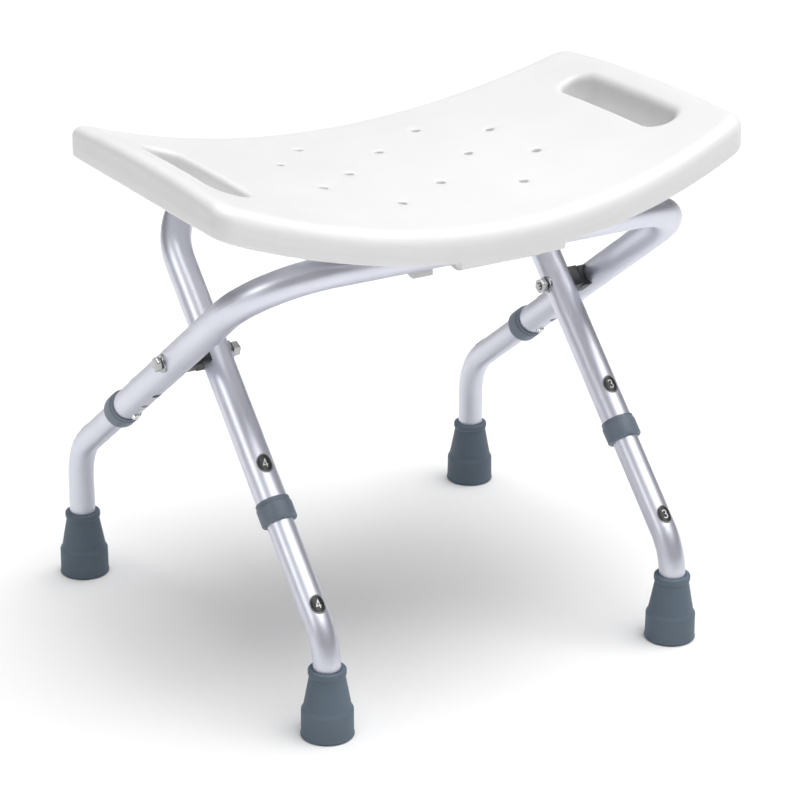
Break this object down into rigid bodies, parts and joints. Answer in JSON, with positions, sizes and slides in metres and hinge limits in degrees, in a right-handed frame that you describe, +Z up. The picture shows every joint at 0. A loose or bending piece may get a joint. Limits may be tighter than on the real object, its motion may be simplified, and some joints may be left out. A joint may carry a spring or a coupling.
{
  "type": "folding shower stool",
  "caption": "Folding shower stool with a dished white seat, crossed tube frames and adjustable legs on rubber feet",
  "frame": {"origin": "centre of the bounding box on the floor, between the four soles", "axes": "+X along the seat to the right, +Y to the back, +Z up"},
  "size_m": [0.485, 0.4104, 0.4383],
  "materials": {
    "seat_plastic": "blow-moulded, fine grain",
    "clip_plastic": "moulded",
    "screw_steel": "plated",
    "frame_aluminium": "satin anodised",
    "extension_aluminium": "satin anodised",
    "pivot_steel": "zinc plated",
    "saddle_plastic": "moulded",
    "collar_plastic": "moulded",
    "button_chrome": "polished",
    "spring_steel": "rolled",
    "foot_rubber": "moulded",
    "label_black": "printed film"
  },
  "bodies": {
    "outer_frame": {"outer_frame_tube": "frame_aluminium", "pivot_bolt_left": "pivot_steel", "pivot_bolt_right": "pivot_steel", "pivot_nut_left": "pivot_steel", "pivot_nut_right": "pivot_steel", "pivot_saddle_outer_left": "saddle_plastic", "pivot_saddle_outer_right": "saddle_plastic", "pivot_washer_outer_left": "pivot_steel", "pivot_washer_outer_right": "pivot_steel", "collar_1": "collar_plastic", "collar_2": "collar_plastic", "tube_label_1": "label_black", "tube_label_2": "label_black"},
    "inner_frame": {"inner_frame_tube": "frame_aluminium", "pivot_saddle_inner_left": "saddle_plastic", "pivot_saddle_inner_right": "saddle_plastic", "pivot_washer_inner_left": "pivot_steel", "pivot_washer_inner_right": "pivot_steel", "collar_3": "collar_plastic", "collar_4": "collar_plastic", "tube_label_3": "label_black", "tube_label_4": "label_black"},
    "seat_unit": {"seat": "seat_plastic", "hinge_saddle": "clip_plastic", "hinge_saddle_screws": "screw_steel", "hinge_strap": "clip_plastic", "hinge_strap_screw": "screw_steel", "rear_clip_left": "clip_plastic", "rear_clip_right": "clip_plastic", "rear_clip_screws": "screw_steel"},
    "leg_1": {"leg_extension_1": "extension_aluminium", "rubber_foot_1": "foot_rubber", "snap_spring_1": "spring_steel", "extension_label_1": "label_black"},
    "button_1": {"snap_button_1": "button_chrome"},
    "leg_2": {"leg_extension_2": "extension_aluminium", "rubber_foot_2": "foot_rubber", "snap_spring_2": "spring_steel", "extension_label_2": "label_black"},
    "button_2": {"snap_button_2": "button_chrome"},
    "leg_3": {"leg_extension_3": "extension_aluminium", "rubber_foot_3": "foot_rubber", "snap_spring_3": "spring_steel", "extension_label_3": "label_black"},
    "button_3": {"snap_button_3": "button_chrome"},
    "leg_4": {"leg_extension_4": "extension_aluminium", "rubber_foot_4": "foot_rubber", "snap_spring_4": "spring_steel", "extension_label_4": "label_black"},
    "button_4": {"snap_button_4": "button_chrome"}
  },
  "joints": [
    {"name": "frame_fold", "type": "hinge", "parent": "outer_frame", "child": "inner_frame", "pos_m": [-0.008, -0.00602, 0.2611], "axis": [1, 0, 0], "range_deg": [0, 60]},
    {"name": "seat_hinge", "type": "hinge", "parent": "outer_frame", "child": "seat_unit", "pos_m": [0, -0.1448, 0.3665], "axis": [1, 0, 0], "range_deg": [0, 90]},
    {"name": "leg_slide_1", "type": "slide", "parent": "outer_frame", "child": "leg_1", "axis": [0, -0.7963, 0.6048], "range_m": [0, 0.05291], "deforming": ["snap_button_1"]},
    {"name": "button_press_1", "type": "slide", "parent": "leg_1", "child": "button_1", "axis": [0, 0.6048, 0.7963], "range_m": [0, 0.0052], "stiffness_N_per_m": 1500, "deforming": ["snap_spring_1"]},
    {"name": "leg_slide_2", "type": "slide", "parent": "outer_frame", "child": "leg_2", "axis": [0, -0.7963, 0.6048], "range_m": [0, 0.05291], "deforming": ["snap_button_2"]},
    {"name": "button_press_2", "type": "slide", "parent": "leg_2", "child": "button_2", "axis": [0, 0.6048, 0.7963], "range_m": [0, 0.0052], "stiffness_N_per_m": 1500, "deforming": ["snap_spring_2"]},
    {"name": "leg_slide_3", "type": "slide", "parent": "inner_frame", "child": "leg_3", "axis": [0, 0.6944, 0.7195], "range_m": [0, 0.04447], "deforming": ["snap_button_3"]},
    {"name": "button_press_3", "type": "slide", "parent": "leg_3", "child": "button_3", "axis": [0, -0.7195, 0.6944], "range_m": [0, 0.0052], "stiffness_N_per_m": 1500, "deforming": ["snap_spring_3"]},
    {"name": "leg_slide_4", "type": "slide", "parent": "inner_frame", "child": "leg_4", "axis": [0, 0.6944, 0.7195], "range_m": [0, 0.04447], "deforming": ["snap_button_4"]},
    {"name": "button_press_4", "type": "slide", "parent": "leg_4", "child": "button_4", "axis": [0, -0.7195, 0.6944], "range_m": [0, 0.0052], "stiffness_N_per_m": 1500, "deforming": ["snap_spring_4"]}
  ],
  "couplings": [
    {"joint": "seat_hinge", "follows": "frame_fold", "ratio": 1.5}
  ]
}
